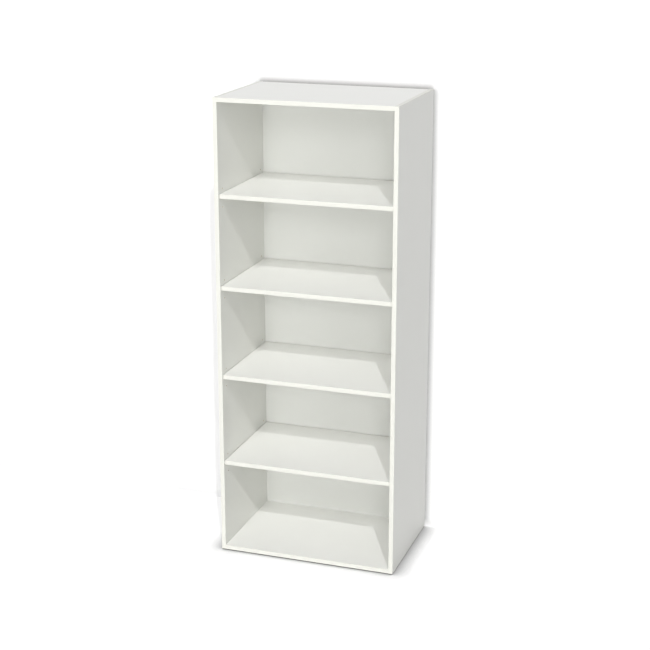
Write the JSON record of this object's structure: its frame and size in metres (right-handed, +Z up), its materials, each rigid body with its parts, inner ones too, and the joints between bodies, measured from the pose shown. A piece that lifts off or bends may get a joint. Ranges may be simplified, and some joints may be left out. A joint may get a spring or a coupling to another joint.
{
  "type": "bookcase",
  "caption": "Tall open bookcase in white laminated board with adjustable shelves on pins, cam-locked joints, a grooved-in back and a top and bottom held between full-height sides.",
  "frame": {"origin": "on the floor, under the middle of the carcass", "axes": "+Z up, -Y out of the open front, +X to the right as seen from the front"},
  "size_m": [0.64, 0.425, 1.628],
  "materials": {
    "white_board": "satin white melamine on particleboard",
    "white_edging": "satin",
    "white_hardboard": "white foil on the front of hardboard",
    "plated_steel": "bright zinc plating",
    "cast_zinc": "cast",
    "beech": "raw",
    "white_plastic": "matte"
  },
  "bodies": {
    "carcass": {"side_left": "white_board", "side_right": "white_board", "top_panel": "white_board", "bottom_panel": "white_board", "side_left_front_edging": "white_edging", "side_left_top_edging": "white_edging", "side_right_front_edging": "white_edging", "side_right_top_edging": "white_edging", "top_panel_edging": "white_edging", "bottom_panel_edging": "white_edging", "back_panel": "white_hardboard", "cam_bolts": "plated_steel", "dowels": "beech", "back_nails": "plated_steel", "glides": "white_plastic", "glide_nails": "plated_steel", "wall_brackets": "plated_steel", "bracket_screws": "plated_steel"},
    "shelf_board_1": {"shelf_1": "white_board", "shelf_1_edging": "white_edging"},
    "shelf_board_2": {"shelf_2": "white_board", "shelf_2_edging": "white_edging"},
    "shelf_board_3": {"shelf_3": "white_board", "shelf_3_edging": "white_edging"},
    "shelf_board_4": {"shelf_4": "white_board", "shelf_4_edging": "white_edging"},
    "pin_1_front_left_body": {"pin_1_front_left": "plated_steel"},
    "pin_1_front_right_body": {"pin_1_front_right": "plated_steel"},
    "pin_1_rear_left_body": {"pin_1_rear_left": "plated_steel"},
    "pin_1_rear_right_body": {"pin_1_rear_right": "plated_steel"},
    "pin_2_front_left_body": {"pin_2_front_left": "plated_steel"},
    "pin_2_front_right_body": {"pin_2_front_right": "plated_steel"},
    "pin_2_rear_left_body": {"pin_2_rear_left": "plated_steel"},
    "pin_2_rear_right_body": {"pin_2_rear_right": "plated_steel"},
    "pin_3_front_left_body": {"pin_3_front_left": "plated_steel"},
    "pin_3_front_right_body": {"pin_3_front_right": "plated_steel"},
    "pin_3_rear_left_body": {"pin_3_rear_left": "plated_steel"},
    "pin_3_rear_right_body": {"pin_3_rear_right": "plated_steel"},
    "pin_4_front_left_body": {"pin_4_front_left": "plated_steel"},
    "pin_4_front_right_body": {"pin_4_front_right": "plated_steel"},
    "pin_4_rear_left_body": {"pin_4_rear_left": "plated_steel"},
    "pin_4_rear_right_body": {"pin_4_rear_right": "plated_steel"},
    "cam_bottom_front_left_body": {"cam_bottom_front_left": "cast_zinc"},
    "cam_bottom_front_right_body": {"cam_bottom_front_right": "cast_zinc"},
    "cam_bottom_rear_left_body": {"cam_bottom_rear_left": "cast_zinc"},
    "cam_bottom_rear_right_body": {"cam_bottom_rear_right": "cast_zinc"},
    "cam_top_front_left_body": {"cam_top_front_left": "cast_zinc"},
    "cam_top_front_right_body": {"cam_top_front_right": "cast_zinc"},
    "cam_top_rear_left_body": {"cam_top_rear_left": "cast_zinc"},
    "cam_top_rear_right_body": {"cam_top_rear_right": "cast_zinc"}
  },
  "joints": [
    {"name": "shelf_1_lift", "type": "slide", "parent": "carcass", "child": "shelf_board_1", "axis": [0, 0, 1], "range_m": [0, 0.298]},
    {"name": "shelf_2_lift", "type": "slide", "parent": "carcass", "child": "shelf_board_2", "axis": [0, 0, 1], "range_m": [0, 0.298]},
    {"name": "shelf_3_lift", "type": "slide", "parent": "carcass", "child": "shelf_board_3", "axis": [0, 0, 1], "range_m": [0, 0.298]},
    {"name": "shelf_4_lift", "type": "slide", "parent": "carcass", "child": "shelf_board_4", "axis": [0, 0, 1], "range_m": [0, 0.3055]},
    {"name": "pin_1_front_left_draw", "type": "slide", "parent": "carcass", "child": "pin_1_front_left_body", "axis": [1, 0, 0], "range_m": [0, 0.012]},
    {"name": "pin_1_front_right_draw", "type": "slide", "parent": "carcass", "child": "pin_1_front_right_body", "axis": [-1, 0, 0], "range_m": [0, 0.012]},
    {"name": "pin_1_rear_left_draw", "type": "slide", "parent": "carcass", "child": "pin_1_rear_left_body", "axis": [1, 0, 0], "range_m": [0, 0.012]},
    {"name": "pin_1_rear_right_draw", "type": "slide", "parent": "carcass", "child": "pin_1_rear_right_body", "axis": [-1, 0, 0], "range_m": [0, 0.012]},
    {"name": "pin_2_front_left_draw", "type": "slide", "parent": "carcass", "child": "pin_2_front_left_body", "axis": [1, 0, 0], "range_m": [0, 0.012]},
    {"name": "pin_2_front_right_draw", "type": "slide", "parent": "carcass", "child": "pin_2_front_right_body", "axis": [-1, 0, 0], "range_m": [0, 0.012]},
    {"name": "pin_2_rear_left_draw", "type": "slide", "parent": "carcass", "child": "pin_2_rear_left_body", "axis": [1, 0, 0], "range_m": [0, 0.012]},
    {"name": "pin_2_rear_right_draw", "type": "slide", "parent": "carcass", "child": "pin_2_rear_right_body", "axis": [-1, 0, 0], "range_m": [0, 0.012]},
    {"name": "pin_3_front_left_draw", "type": "slide", "parent": "carcass", "child": "pin_3_front_left_body", "axis": [1, 0, 0], "range_m": [0, 0.012]},
    {"name": "pin_3_front_right_draw", "type": "slide", "parent": "carcass", "child": "pin_3_front_right_body", "axis": [-1, 0, 0], "range_m": [0, 0.012]},
    {"name": "pin_3_rear_left_draw", "type": "slide", "parent": "carcass", "child": "pin_3_rear_left_body", "axis": [1, 0, 0], "range_m": [0, 0.012]},
    {"name": "pin_3_rear_right_draw", "type": "slide", "parent": "carcass", "child": "pin_3_rear_right_body", "axis": [-1, 0, 0], "range_m": [0, 0.012]},
    {"name": "pin_4_front_left_draw", "type": "slide", "parent": "carcass", "child": "pin_4_front_left_body", "axis": [1, 0, 0], "range_m": [0, 0.012]},
    {"name": "pin_4_front_right_draw", "type": "slide", "parent": "carcass", "child": "pin_4_front_right_body", "axis": [-1, 0, 0], "range_m": [0, 0.012]},
    {"name": "pin_4_rear_left_draw", "type": "slide", "parent": "carcass", "child": "pin_4_rear_left_body", "axis": [1, 0, 0], "range_m": [0, 0.012]},
    {"name": "pin_4_rear_right_draw", "type": "slide", "parent": "carcass", "child": "pin_4_rear_right_body", "axis": [-1, 0, 0], "range_m": [0, 0.012]},
    {"name": "cam_bottom_front_left_turn", "type": "hinge", "parent": "carcass", "child": "cam_bottom_front_left_body", "pos_m": [-0.281, -0.1525, 0.0105], "axis": [0, 0, -1], "range_deg": [0, 180]},
    {"name": "cam_bottom_front_right_turn", "type": "hinge", "parent": "carcass", "child": "cam_bottom_front_right_body", "pos_m": [0.281, -0.1525, 0.0105], "axis": [0, 0, -1], "range_deg": [0, 180]},
    {"name": "cam_bottom_rear_left_turn", "type": "hinge", "parent": "carcass", "child": "cam_bottom_rear_left_body", "pos_m": [-0.281, 0.1445, 0.0105], "axis": [0, 0, -1], "range_deg": [0, 180]},
    {"name": "cam_bottom_rear_right_turn", "type": "hinge", "parent": "carcass", "child": "cam_bottom_rear_right_body", "pos_m": [0.281, 0.1445, 0.0105], "axis": [0, 0, -1], "range_deg": [0, 180]},
    {"name": "cam_top_front_left_turn", "type": "hinge", "parent": "carcass", "child": "cam_top_front_left_body", "pos_m": [-0.281, -0.1525, 1.6205], "axis": [0, 0, -1], "range_deg": [0, 180]},
    {"name": "cam_top_front_right_turn", "type": "hinge", "parent": "carcass", "child": "cam_top_front_right_body", "pos_m": [0.281, -0.1525, 1.6205], "axis": [0, 0, -1], "range_deg": [0, 180]},
    {"name": "cam_top_rear_left_turn", "type": "hinge", "parent": "carcass", "child": "cam_top_rear_left_body", "pos_m": [-0.281, 0.1445, 1.6205], "axis": [0, 0, -1], "range_deg": [0, 180]},
    {"name": "cam_top_rear_right_turn", "type": "hinge", "parent": "carcass", "child": "cam_top_rear_right_body", "pos_m": [0.281, 0.1445, 1.6205], "axis": [0, 0, -1], "range_deg": [0, 180]}
  ]
}
